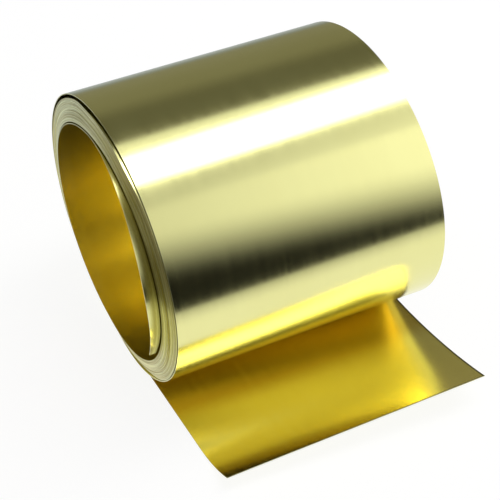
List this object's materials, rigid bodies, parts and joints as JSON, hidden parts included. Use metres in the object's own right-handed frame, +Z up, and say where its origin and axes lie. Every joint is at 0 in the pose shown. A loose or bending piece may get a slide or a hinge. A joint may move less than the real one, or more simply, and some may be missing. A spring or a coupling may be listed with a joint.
{
  "type": "roll of brass sheet",
  "caption": "Roll of thin brass sheet lying on its side, with an open bore through the wound turns and the free end of the sheet run out in front.",
  "frame": {"origin": "on the axis of the roll, at the middle of its width; the ground is one outside radius below", "axes": "+X along the axis of the roll, +Z up, -Y towards the free edge of the sheet"},
  "size_m": [0.112, 0.1353, 0.1064],
  "materials": {
    "brass": "bright rolled, satin sheen"
  },
  "bodies": {
    "root": {"brass_sheet": "brass"}
  },
  "joints": []
}
